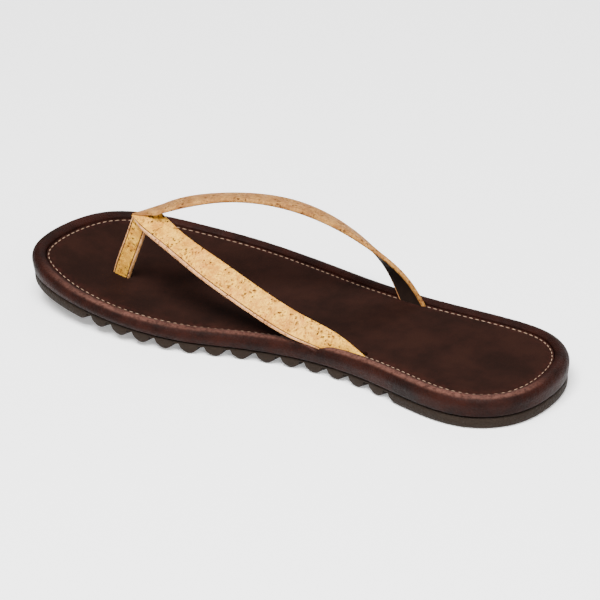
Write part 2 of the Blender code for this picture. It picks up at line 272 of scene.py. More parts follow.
class Value:
    """A shader's socket that can be used in sums, so that its maths reads as Python."""

    def __init__(self, nodes: "Nodes", socket: bpy.types.NodeSocket) -> None:
        """Keep the socket and the nodes that it belongs to."""
        self.nodes = nodes
        self.socket = socket

    def combine(self, operation: str, other: "Value | float", swapped: bool = False) -> "Value":
        """Join this value and another in one Math node, with the other one first if they are swapped."""
        first, second = (other, self) if swapped else (self, other)
        return self.nodes.node("ShaderNodeMath", {"operation": operation}, {0: first, 1: second})

    def __add__(self, other: "Value | float") -> "Value":
        """Return the sum."""
        return self.combine("ADD", other)

    def __sub__(self, other: "Value | float") -> "Value":
        """Return the difference."""
        return self.combine("SUBTRACT", other)

    def __rsub__(self, other: float) -> "Value":
        """Return the difference from a number."""
        return self.combine("SUBTRACT", other, swapped=True)

    def __mul__(self, other: "Value | float") -> "Value":
        """Return the product."""
        return self.combine("MULTIPLY", other)

    __radd__ = __add__
    __rmul__ = __mul__

    def fit(self, low: float, high: float, start: float = 0.0, end: float = 1.0) -> "Value":
        """Map a range with a smooth step, onto start up to its low end and onto end from its high one on."""
        ends = {"Value": self, "From Min": low, "From Max": high, "To Min": start, "To Max": end}
        return self.nodes.node("ShaderNodeMapRange", {"interpolation_type": "SMOOTHSTEP"}, ends)


class Nodes:
    """A new material and short ways to add nodes to it."""

    # A Mix node's sockets for two colours, and its output for a colour.
    FACTOR, FIRST, SECOND, RESULT = 0, 6, 7, 2

    def __init__(self, name: str) -> None:
        """Make the material and find its shader."""
        self.material = bpy.data.materials.new(name)
        self.material.use_nodes = True
        self.tree = self.material.node_tree
        self.shader = self.tree.nodes["Principled BSDF"]
        self.millimetres = self.vector("SCALE", self.node("ShaderNodeTexCoord", output="Object"), 1 / MM)

    def node(self, kind: str, settings: dict | None = None, values: dict | None = None,
             output: int | str = 0) -> Value:
        """Add one node.

        Args:
            kind: the node's type.
            settings: its properties, which are set first.
            values: what its sockets hold or are linked to.
            output: which of its outputs to return.

        Returns:
            The output as a value.
        """
        made = self.tree.nodes.new(kind)
        for name, setting in (settings or {}).items():
            setattr(made, name, setting)
        for name, value in (values or {}).items():
            if isinstance(value, Value):
                self.tree.links.new(value.socket, made.inputs[name])
            else:
                made.inputs[name].default_value = value
        return Value(self, made.outputs[output])

    def vector(self, operation: str, first: Value, second: Value | Stretch | float) -> Value:
        """Join two vectors, or a vector and the number that scales it, in one Vector Math node."""
        other = "Scale" if operation == "SCALE" else 1
        return self.node("ShaderNodeVectorMath", {"operation": operation}, {0: first, other: second})

    def noise(self, size: float, detail: float = 3.0, roughness: float = 0.55,
              stretch: Stretch = UNSTRETCHED) -> Value:
        """Return noise from 0 to 1 with features of about a size in millimetres, stretched along the axes."""
        place = self.vector("DIVIDE", self.millimetres, stretch)
        return self.node("ShaderNodeTexNoise", None,
                         {"Vector": place, "Scale": 1 / size, "Detail": detail, "Roughness": roughness})

    def cells(self, size: float, feature: str = "F1", stretch: Stretch = UNSTRETCHED,
              bend: float = 0.6) -> Value:
        """Return the distance within cells of about a size in millimetres, bent by noise of the same size."""
        place = self.vector("DIVIDE", self.millimetres, stretch)
        wave = self.node("ShaderNodeTexNoise", None, {"Vector": place, "Scale": 1 / size}, output="Color")
        place = self.vector("ADD", place, self.vector("SCALE", wave, bend * size))
        return self.node("ShaderNodeTexVoronoi", {"feature": feature}, {"Vector": place, "Scale": 1 / size})

    def measure(self, name: str) -> Value:
        """Return a number that the piece stores for each vertex."""
        return self.node("ShaderNodeAttribute", {"attribute_name": name}, output="Fac")

    def mix(self, factor: Value, first: Value | Colour, second: Value | Colour) -> Value:
        """Mix two colours, where the factor is the share of the second one."""
        whole = [colour if isinstance(colour, Value) else (*colour, 1.0) for colour in (first, second)]
        return self.node("ShaderNodeMix", {"data_type": "RGBA"},
                         {self.FACTOR: factor, self.FIRST: whole[0], self.SECOND: whole[1]}, self.RESULT)

    def bump(self, height: Value, depth: float, below: Value | None = None, strength: float = 1.0) -> Value:
        """Turn a relief from 0 to 1, of a depth in millimetres, into a normal on top of the one below it."""
        under = {"Normal": below} if below else {}
        return self.node("ShaderNodeBump", None,
                         {"Height": height, "Distance": depth * MM, "Strength": strength, **under})

    def finish(self, **sockets: object) -> bpy.types.Material:
        """Set or link the shader's sockets.

        Args:
            sockets: numbers, colours or values by the sockets' names, written with _ for a space.

        Returns:
            The material.
        """
        for name, value in sockets.items():
            socket = self.shader.inputs[name.replace("_", " ").title().replace("Ior", "IOR")]
            if isinstance(value, Value):
                self.tree.links.new(value.socket, socket)
            else:
                socket.default_value = value
        return self.material


@dataclass(frozen=True)
class Rubber:
    """Dark brown moulded rubber of the outsole, smooth on the lugs and pebbled on both pads."""

    base: Colour = (0.0105, 0.0066, 0.0044)
    brown: Colour = (0.0230, 0.0155, 0.0108)
    rubbed: Colour = (0.088, 0.068, 0.0540)
    # How far above the lower faces, in millimetres, the rubbing starts to fade and ends.
    rub: tuple[float, float] = (0.05, 0.55)
    # Where the pebbled pads end, from the frame's middle, and how far they fade each way, in millimetres.
    heel_pad_end: float = -64.0
    toe_pad_start: float = 85.0
    pad_fade: float = 1.0
    pebble: float = 0.9
    pebble_depth: float = 0.22
    grain: float = 0.35
    grain_depth: float = 0.03
    cloud: float = 14.0
    scuff: float = 1.6
    scuff_stretch: Stretch = (4.0, 0.6, 1.0)
    roughness: float = 0.58
    shine: float = 0.07

    def make(self) -> bpy.types.Material:
        """Build the material."""
        nodes = Nodes("moulded_rubber")
        station = nodes.node("ShaderNodeSeparateXYZ", None, {0: nodes.millimetres}, output="X")
        heel, toe, fade = self.heel_pad_end, self.toe_pad_start, self.pad_fade
        toe_pad = station.fit(toe - fade, toe + fade)
        pads = toe_pad + station.fit(heel - fade, heel + fade, 1.0, 0.0)
        cloud = nodes.noise(self.cloud, 4.0)
        scuff = nodes.noise(self.scuff, 5.0, 0.7, self.scuff_stretch).fit(0.55, 0.75) * 0.35
        colour = nodes.mix(scuff + cloud * 0.5, self.base, self.brown)
        rub = nodes.measure("lift").fit(*self.rub, 1.0, 0.0) * (1.0 - toe_pad * 0.6)
        colour = nodes.mix(rub * (0.4 + cloud * 0.6), colour, self.rubbed)
        grain = nodes.bump(nodes.noise(self.grain, 2.0), self.grain_depth)
        pebbles = nodes.cells(self.pebble, "SMOOTH_F1").fit(0.1, 0.65, 1.0, 0.0) * pads
        normal = nodes.bump(pebbles, self.pebble_depth, grain)
        rough = self.roughness + cloud * 0.16 - scuff * 0.2
        return nodes.finish(base_color=colour, roughness=rough, normal=normal, specular_ior_level=self.shine)


@dataclass(frozen=True)
class WrapLeather:
    """Reddish brown leather rolled over the footbed's edge, cracked, with a painted highlight, partly rubbed
    wear, along its ridge on the medial side.
    """

    deep: Colour = (0.0054, 0.0014, 0.0008)
    red: Colour = (0.0165, 0.0038, 0.0021)
    # The ridge's lighter colour: painted highlight, partly rubbed wear.
    rubbed: Colour = (0.106, 0.046, 0.034)
    grain: float = 1.1
    grain_depth: float = 0.10
    crease_depth: float = 0.15
    crease: float = 3.2
    crease_stretch: Stretch = (1.0, 1.0, 4.0)
    cloud: float = 15.0
    crackle: float = 1.5
    # How far in from the sole's edge the ridge carries its painted highlight, partly rubbed wear, in
    # millimetres.
    ridge: tuple[float, float, float, float] = (1.3, 2.6, 3.6, 5.6)
    roughness: float = 0.42
    shine: float = 0.06

    def make(self) -> bpy.types.Material:
        """Build the material."""
        nodes = Nodes("wrap_leather")
        inset, height = nodes.measure("inset"), nodes.measure("rise")
        cloud = nodes.noise(self.cloud, 5.0, 0.65)
        fine = nodes.noise(self.crackle, 5.0, 0.75)
        colour = nodes.mix(cloud.fit(0.32, 0.68), self.deep, self.red)
        # Painted highlight, partly rubbed wear: the ridge on the medial side is lightened where the key light
        # catches its roll.
        outer, full, fading, inner = self.ridge
        wear_and_highlight_band = inset.fit(outer, full) * inset.fit(fading, inner, 1.0, 0.0) * height
        wear_and_highlight = wear_and_highlight_band * (fine.fit(0.34, 0.62) * 0.7 + 0.2) * cloud.fit(0.2, 0.62, 0.5, 1.0)
        colour = nodes.mix(wear_and_highlight, colour, self.rubbed)
        colour = nodes.mix(fine.fit(0.5, 0.72) * 0.3, colour, self.red)
        pores = nodes.cells(self.grain, "DISTANCE_TO_EDGE", bend=0.7).fit(0.0, 0.14)
        grain = nodes.bump(pores, self.grain_depth)
        creases = nodes.noise(self.crease, 3.0, 0.6, self.crease_stretch).fit(0.3, 0.62)
        normal = nodes.bump(creases, self.crease_depth, grain, 0.6)
        rough = self.roughness + cloud * 0.12 + fine * 0.1
        return nodes.finish(base_color=colour, roughness=rough, normal=normal, specular_ior_level=self.shine)


@dataclass(frozen=True)
class Suede:
    """Very dark brown matt suede of the sock, with a reddish mottle near its stitched edge."""

    deep: Colour = (0.0062, 0.0021, 0.0012)
    warm: Colour = (0.0145, 0.0048, 0.0028)
    rim: Colour = (0.024, 0.0062, 0.0044)
    nap: float = 0.5
    nap_depth: float = 0.10
    brush: float = 5.0
    brush_depth: float = 0.12
    cloud: float = 22.0
    mottle: float = 3.4
    # How far in from the sole's edge, in millimetres, the mottle starts to fade and ends.
    rim_fade: tuple[float, float] = (6.5, 13.0)
    roughness: float = 0.95
    shine: float = 0.06

    def make(self) -> bpy.types.Material:
        """Build the material."""
        nodes = Nodes("sock_suede")
        cloud = nodes.noise(self.cloud, 5.0, 0.62).fit(0.32, 0.68)
        mottle = nodes.noise(self.mottle, 4.0, 0.7).fit(0.4, 0.66)
        near_rim = nodes.measure("inset").fit(*self.rim_fade, 1.0, 0.0)
        colour = nodes.mix(cloud * 0.8, self.deep, self.warm)
        colour = nodes.mix(mottle * near_rim * 0.7, colour, self.rim)
        fibres = nodes.noise(self.nap, 5.0, 0.75)
        colour = nodes.mix(fibres.fit(0.45, 0.75) * 0.3, colour, self.rim)
        brushed = nodes.bump(nodes.noise(self.brush, 3.0, 0.6), self.brush_depth)
        normal = nodes.bump(fibres, self.nap_depth, brushed)
        return nodes.finish(base_color=colour, roughness=self.roughness, normal=normal,
                            specular_ior_level=self.shine)


@dataclass(frozen=True)
class CorkCloth:
    """Pale tan cork bark shaved thin on cloth, with flecks, pits and a fine grain across the strap."""

    name: str = "cork_cloth"
    pale: Colour = (0.72, 0.385, 0.042)
    tan: Colour = (0.40, 0.160, 0.015)
    blush: Colour = (0.58, 0.230, 0.052)
    fleck: Colour = (0.045, 0.012, 0.0035)
    pit_depth: float = 0.16
    # The sizes of what the cork shows, in millimetres, and how far each is stretched along X, Y and Z.
    cloud: float = 4.5
    warmth: float = 10.0
    warmth_stretch: Stretch = (1.0, 1.3, 1.0)
    speckle: float = 0.8
    speckle_stretch: Stretch = (1.0, 1.6, 1.0)
    speckle_depth: float = 0.06
    line: float = 0.6
    line_stretch: Stretch = (1.0, 4.0, 2.0)
    crowd: float = 5.0
    spot: float = 1.7
    spot_stretch: Stretch = (1.0, 1.25, 1.0)
    dust: float = 0.95
    ragged: float = 1.3
    roughness: float = 0.62
    shine: float = 0.14

    def make(self) -> bpy.types.Material:
        """Build the material."""
        nodes = Nodes(self.name)
        cloud = nodes.noise(self.cloud, 5.0, 0.72).fit(0.36, 0.64)
        colour = nodes.mix(cloud, self.pale, self.tan)
        warm = nodes.noise(self.warmth, 3.0, 0.6, self.warmth_stretch).fit(0.5, 0.68) * 0.4
        colour = nodes.mix(warm, colour, self.blush)
        speckle = nodes.noise(self.speckle, 5.0, 0.8, self.speckle_stretch)
        colour = nodes.mix(speckle.fit(0.46, 0.66) * 0.75, colour, self.tan)
        colour = nodes.mix(speckle.fit(0.34, 0.5, 0.55, 0.0), colour, self.pale)
        lines = nodes.noise(self.line, 4.0, 0.7, self.line_stretch).fit(0.5, 0.66)
        colour = nodes.mix(lines * 0.7, colour, self.tan)
        crowd = nodes.noise(self.crowd, 4.0, 0.65).fit(0.40, 0.60)
        spots = nodes.cells(self.spot, "F1", self.spot_stretch, self.ragged).fit(0.18, 0.40, 1.0, 0.0)
        dust = nodes.cells(self.dust, "F1", self.speckle_stretch, self.ragged).fit(0.16, 0.40, 1.0, 0.0)
        flecks = spots * crowd.fit(0.0, 0.7) + dust * crowd * 0.8
        colour = nodes.mix(flecks * 0.78, colour, self.fleck)
        relief = 1.0 - flecks * 0.9 - lines * 0.2
        normal = nodes.bump(relief, self.pit_depth, nodes.bump(speckle, self.speckle_depth))
        return nodes.finish(base_color=colour, roughness=self.roughness + flecks * 0.2, normal=normal,
                            specular_ior_level=self.shine)


@dataclass(frozen=True)
class PlainFinish:
    """A finish of two close colours with a fine grain: lining, the seam's painted shade and thread."""

    name: str
    base: Colour
    second: Colour
    rough: float
    grain: float = 0.4
    grain_depth: float = 0.04
    # How many times larger than the grain the clouds are.
    clouds: float = 8.0
    shine: float = 0.12

    def make(self) -> bpy.types.Material:
        """Build the material."""
        nodes = Nodes(self.name)
        cloud = nodes.noise(self.grain * self.clouds, 4.0, 0.6)
        fine = nodes.noise(self.grain, 3.0, 0.6)
        colour = nodes.mix(cloud.fit(0.3, 0.7) * 0.6 + fine.fit(0.3, 0.7) * 0.4, self.base, self.second)
        return nodes.finish(base_color=colour, roughness=self.rough - 0.1 + fine * 0.2,
                            normal=nodes.bump(fine, self.grain_depth), specular_ior_level=self.shine)


LINING = PlainFinish("strap_lining", (0.013, 0.007, 0.005), (0.022, 0.012, 0.008), 0.7)
# The seam's dark colour is painted shade, where the turned strip's step would cast it.
SEAM = PlainFinish("strap_seam_shade", (0.060, 0.026, 0.011), (0.030, 0.012, 0.005), 0.85)
THREAD = PlainFinish("cream_thread", (0.25, 0.170, 0.118), (0.16, 0.100, 0.066), 0.8, 0.25, 0.06)
STRIP = CorkCloth("cork_edge", (0.60, 0.315, 0.130), (0.38, 0.165, 0.060), (0.52, 0.225, 0.10),
                  pit_depth=0.06)
# The far strap's cork, which is darker in the photograph.
# Its darker colours are painted shade, as the far strap faces away from the light.
SHADED_CORK = CorkCloth("cork_cloth_shaded", (0.36, 0.180, 0.044), (0.175, 0.068, 0.015),
                        (0.29, 0.115, 0.035))


@dataclass
class SoleOutline:
    """The sole's outline as seen from above, in millimetres."""

    length: float = 255.0
    heel_tip: float = 1.0
    toe_tip: float = 14.0
    samples: int = 1440
    # Rows of station, medial half width and lateral half width.
    widths: tuple[Row, ...] = (
        (5.0, 22.0, 21.0), (20.0, 34.5, 34.5), (42.0, 36.4, 37.7), (72.0, 30.6, 37.3),
        (102.0, 28.4, 38.7), (132.0, 33.0, 43.0), (160.0, 41.8, 47.2), (185.0, 46.8, 46.8),
        (208.0, 46.8, 43.0), (228.0, 43.6, 36.4), (244.0, 37.0, 24.6), (252.0, 28.4, 9.0),
    )
    spacing: float = 0.6
    # A distance is measured to every second sample, for this many places at a time.
    stride: int = 2
    block: int = 2000
    curve: np.ndarray = field(init=False)
    inward: np.ndarray = field(init=False)

    def __post_init__(self) -> None:
        """Work out the curve and the direction into the sole at each of its points."""
        points = [(0.0, self.heel_tip)] + [(station, -lateral) for station, _, lateral in self.widths]
        points.append((self.length, self.toe_tip))
        points += [(station, medial) for station, medial, _ in self.widths[::-1]]
        self.curve = smooth_curve(points, self.samples + 1, closed=True, spacing=self.spacing)[:-1]
        step = np.roll(self.curve, -1, axis=0) - np.roll(self.curve, 1, axis=0)
        step /= np.linalg.norm(step, axis=1)[:, None]
        self.inward = np.column_stack([-step[:, 1], step[:, 0]])

    def around(self, stations: np.ndarray) -> tuple[np.ndarray, np.ndarray, np.ndarray]:
        """Find the places on both sides of the sole at some stations, with both tips.

        Args:
            stations: the stations, from the heel to the toe.

        Returns:
            Places, directions inwards, and the number of the place straight across, round from the heel.
        """
        heel, toe = int(np.argmin(self.curve[:, 0])), int(np.argmax(self.curve[:, 0]))
        curve = np.roll(self.curve, -heel, axis=0)
        inward = np.roll(self.inward, -heel, axis=0)
        toe = (toe - heel) % len(curve)
        order = np.arange(len(curve) + 1, dtype=float)
        curve, inward = np.vstack([curve, curve[:1]]), np.vstack([inward, inward[:1]])
        lateral = np.interp(stations, curve[:toe + 1, 0], order[:toe + 1])
        medial = np.interp(stations, curve[toe:, 0][::-1], order[toe:][::-1])
        spots = np.concatenate([[0.0], lateral, [float(toe)], medial[::-1]])
        found = [np.column_stack([np.interp(spots, order, rows[:, axis]) for axis in range(2)])
                 for rows in (curve, inward)]
        count = len(stations)
        found[1][0], found[1][count + 1] = (1.0, 0.0), (-1.0, 0.0)
        found[1] /= np.linalg.norm(found[1], axis=1)[:, None]
        partner = (-np.arange(2 * count + 2)) % (2 * count + 2)
        return found[0], found[1], partner

    def inset(self, distance: float) -> np.ndarray:
        """Return the outline moved inwards, as rows of station and side."""
        return self.curve + self.inward * distance

    def distance(self, places: np.ndarray) -> np.ndarray:
        """Measure how far places lie inside the outline.

        Args:
            places: rows of station and side.

        Returns:
            The distance to the outline of each place, in millimetres.
        """
        line = self.curve[None, ::self.stride]
        found = np.empty(len(places))
        for start in range(0, len(places), self.block):
            part = places[start:start + self.block, None]
            found[start:start + self.block] = np.linalg.norm(part - line, axis=2).min(axis=1)
        return found


@dataclass
class Outsole:
    """The rubber outsole, in millimetres: a pad at each end and rounded lugs between straight grooves."""

    outline: SoleOutline
    spring_start: float = 158.0
    spring_rise: float = 9.4
    spring_power: float = 1.25
    groove_count: int = 14
    pitch: float = 11.12
    first_groove: float = 209.0
    # Half a groove's section: rows of offset from its middle and share of its depth.
    groove: tuple[Row, ...] = (
        (0.0, 0.86), (0.4, 0.88), (0.8, 1.0), (1.25, 1.0), (1.6, 0.72), (1.9, 0.33), (2.25, 0.1), (2.7, 0.0),
    )
    lug_offsets: tuple[float, ...] = (3.3, 4.0, 4.8, 5.56)
    # The wall from the lower face to the upper one: rows of inset, rise over a lug and rise over a groove.
    wall: tuple[Row, ...] = (
        (8.5, 0.0, 3.4), (6.5, 0.0, 3.5), (4.8, 0.0, 3.65), (3.4, 0.0, 3.85), (2.6, 0.03, 4.0),
        (2.0, 0.2, 4.05), (1.55, 0.55, 4.1), (1.22, 1.1, 4.15), (1.05, 1.8, 4.2), (1.0, 2.6, 4.3),
        (1.0, 4.3, 4.6), (1.15, 4.85, 4.9), (1.5, 5.2, 5.2),
    )
    # How far the lower edge rises beside a groove, and how that fades along the lug, inwards and upwards.
    scallop: float = 1.35
    scallop_power: float = 2.2
    scallop_gain: float = 1.6
    scallop_inset: float = 7.5
    scallop_top: float = 2.6
    plan_notch: float = 0.45
    pad_rungs: int = 26
    floor_steps: int = 4
    corner_merge: float = 0.05
    smooth_angle: float = 42.0

    def stations(self) -> np.ndarray:
        """Return the stations of every corner across the sole, crowded at both ends."""
        offsets = [row[0] for row in self.groove] + list(self.lug_offsets)
        corners = {round(self.first_groove - index * self.pitch + sign * offset, 3)
                   for index in range(self.groove_count) for offset in offsets for sign in (-1, 1)}
        merged = [min(corners)]
        for corner in sorted(corners):
            if corner - merged[-1] > self.corner_merge:
                merged.append(corner)
        turn = np.linspace(0.0, math.pi / 2, self.pad_rungs + 1)[1:-1]
        heel = merged[0] * (1.0 - np.cos(turn))
        toe = self.outline.length - (self.outline.length - merged[-1]) * (1.0 - np.cos(turn))
        return np.concatenate([heel, merged, toe[::-1]])

    def offset(self, station: np.ndarray) -> np.ndarray:
        """Return how far each station lies from the middle of the nearest groove."""
        nearest = np.clip(np.round((self.first_groove - station) / self.pitch), 0, self.groove_count - 1)
        return np.abs(station - (self.first_groove - nearest * self.pitch))

    def floor_side(self, station: np.ndarray) -> np.ndarray:
        """Return the height of the sole's lower face above the floor."""
        share = np.clip((station - self.spring_start) / (self.outline.length - self.spring_start), 0.0, None)
        return self.spring_rise * share**self.spring_power

    def rows(self) -> list[np.ndarray]:
        """Return the places round the sole, ring by ring, from the lower face's middle to the upper one's."""
        points, inward, partner = self.outline.around(self.stations())
        offset = self.offset(points[:, 0])
        share = np.interp(offset, *np.array(self.groove).T)
        groove_edge, lug_middle = self.groove[-1][0], self.pitch / 2
        near_groove = np.clip(1.0 - (offset - groove_edge) / (lug_middle - groove_edge), 0.0, 1.0)
        notch = 0.5 + 0.5 * np.cos(math.pi * np.clip(offset / lug_middle, 0.0, 1.0))
        rings = []
        for inset, over_lug, over_groove in self.wall:
            plan = points + inward * (inset + self.plan_notch * notch * (inset < self.scallop_inset))[:, None]
            edge = np.clip(1.0 - inset / self.scallop_inset, 0.0, 1.0)
            rounding = min(1.0, edge * self.scallop_gain) * max(0.0, 1.0 - over_lug / self.scallop_top)
            lug = over_lug + self.scallop * near_groove**self.scallop_power * rounding
            height = self.floor_side(plan[:, 0]) + lug + (over_groove - lug) * share
            rings.append(np.column_stack([plan, height]))
        for ring, lower in ((rings[0], True), (rings[-1], False)):
            middle = (ring + ring[partner]) / 2
            steps = np.linspace(0.0, 1.0, self.floor_steps + 1)[1:]
            inner = [ring + (middle - ring) * step for step in steps]
            rings = inner[::-1] + rings if lower else rings + inner
        return rings

    def build(self) -> bpy.types.Object:
        """Lay a grid round the sole, close it and finish it."""
        rings = np.array(self.rows())
        piece = lay_grid("tread_sole", np.concatenate([rings, rings[:, :1]], axis=1))
        points = read_points(piece)
        add_measure(piece, "lift", points[:, 2] / MM - self.floor_side((points[:, 0] - HEEL_X) / MM))
        smooth(piece, self.smooth_angle)
        piece.data.materials.append(Rubber().make())
        settle(piece, "outsole_rubber", "outsole")
        return piece


@dataclass
class Sheet:
    """A solid of the footbed that is smoothed and given its finish: the leather wrap or the suede sock."""

    outline: SoleOutline
    name: str
    node: str
    slot: str
    cloth: WrapLeather | Suede
    levels: int = 2
    sharp: float = 40.0
    crease: float = 0.7
    smooth_angle: float = 50.0
    # How high above the floor, in millimetres, the ridge's painted highlight, partly rubbed wear, starts and
    # is whole.
    ridge_low: float = 9.5
    ridge_high: float = 13.0
    # How far to the medial side the ridge's painted highlight, partly rubbed wear, is full, and the stations
    # between which that fades out.
    wear_and_highlight_side: float = 22.0
    wear_and_highlight_end: float = 243.0
    wear_and_highlight_fade: float = 34.0

    def build(self) -> bpy.types.Object:
        """Copy the solid, smooth it and store how far in each place lies and how near to the ridge's painted
        highlight, partly rubbed wear.
        """
        piece = copy_node(self.node, self.name)
        with editing(piece, "EDGE"):
            bpy.ops.mesh.select_all(action="DESELECT")
            bpy.ops.mesh.edges_select_sharp(sharpness=math.radians(self.sharp))
            bpy.ops.transform.edge_crease(value=self.crease)
        apply_modifier(piece, "SUBSURF", levels=self.levels, render_levels=self.levels)
        points = read_points(piece)
        places = (points[:, :2] - np.array([HEEL_X, MIDDLE_Y])) / MM
        add_measure(piece, "inset", self.outline.distance(places))
        # The rise measure masks the painted highlight, partly rubbed wear: high on the roll, on the medial
        # side, fading towards the toe.
        rise = (points[:, 2] / MM - self.ridge_low) / (self.ridge_high - self.ridge_low)
        side = places[:, 1] / self.wear_and_highlight_side
        ahead = (self.wear_and_highlight_end - places[:, 0]) / self.wear_and_highlight_fade
        add_measure(piece, "rise", np.prod([np.clip(part, 0.0, 1.0) for part in (rise, side, ahead)], axis=0))
        smooth(piece, self.smooth_angle)
        piece.data.materials.append(self.cloth.make())
        settle(piece, self.slot, self.node)
        return piece


@dataclass
class Stitching:
    """The line of cream stitches that holds the sock's edge."""

    outline: SoleOutline
    sock: bpy.types.Object
    inset: float = 7.6
    pitch: float = 3.05
    length: float = 2.15
    width: float = 0.42
    height: float = 0.40
    sink: float = 0.14
    # The share of its height by which a stitch dips at both ends, where it goes into its holes.
    dip: float = 0.25
    # The shares of the pitch that a stitch's direction is taken from.
    shares: tuple[float, float, float] = (0.3, 0.5, 0.7)
    segments: int = 8
    rings: int = 6
    # The height, in metres, from which the line is dropped onto the sock.
    drop: float = 0.1
    keep_clear: float = 6.9
    # Rows of station and side where the straps pass through the sock.
    slots: tuple[Row, ...] = ((89.0, 22.4), (91.5, -30.6))

    def places(self) -> list[tuple[Vector, Vector]]:
        """Return the middle of each stitch with the direction that it runs in, in the frame."""
        line = self.outline.inset(self.inset)
        line = np.vstack([line, line[:1]])
        along = np.concatenate([[0.0], np.cumsum(np.linalg.norm(np.diff(line, axis=0), axis=1))])
        count = int(along[-1] / self.pitch)
        found = []
        for number in range(count):
            marks = [(number + share) * along[-1] / count for share in self.shares]
            spots = [np.array([np.interp(mark, along, line[:, axis]) for axis in range(2)]) for mark in marks]
            if min(np.linalg.norm(spots[1] - np.array(slot)) for slot in self.slots) < self.keep_clear:
                continue
            start, middle, end = (Vector(to_frame((*spot, 0.0))) for spot in spots)
            found.append((middle, (end - start).normalized()))
        return found

    def build(self) -> bpy.types.Object:
        """Model one stitch and lay its copies along the line on the sock."""
        bpy.ops.object.select_all(action="DESELECT")
        bpy.ops.mesh.primitive_uv_sphere_add(segments=self.segments, ring_count=self.rings, radius=0.5)
        piece = bpy.context.active_object
        piece.name = piece.data.name = "rim_stitching"
        one = read_points(piece)[:, [2, 0, 1]] * np.array([self.length, self.width, self.height]) * MM
        one[:, 2] -= self.dip * self.height * MM * (2 * one[:, 0] / (self.length * MM)) ** 2
        write_points(piece, one)
        ground = BVHTree.FromObject(self.sock, bpy.context.evaluated_depsgraph_get())
        down = Vector((0.0, 0.0, -1.0))
        points = []
        for middle, along in self.places():
            hit, normal, _, _ = ground.ray_cast(Vector((middle.x, middle.y, self.drop)), down)
            if hit is None:
                log.info("no sock below the stitch at %s", middle)
                continue
            forward = (along - normal * along.dot(normal)).normalized()
            turn = np.array(Matrix((forward, normal.cross(forward), normal)))
            base = np.array(hit + normal * (self.height / 2 - self.sink) * MM)
            points.append(one @ turn + base)
        apply_modifier(piece, "ARRAY", count=len(points), use_relative_offset=False, use_constant_offset=True)
        write_points(piece, np.vstack(points))
        with editing(piece):
            bpy.ops.mesh.normals_make_consistent(inside=False)
        activate(piece)
        bpy.ops.object.shade_smooth()
        piece.data.materials.append(THREAD.make())
        settle(piece, "cork_cloth")
        return piece


class Part(Enum):
    """What shows on each strip round a strap's section."""

    CORK = 0
    EDGE = 1
    SEAM = 2
    LINING = 3


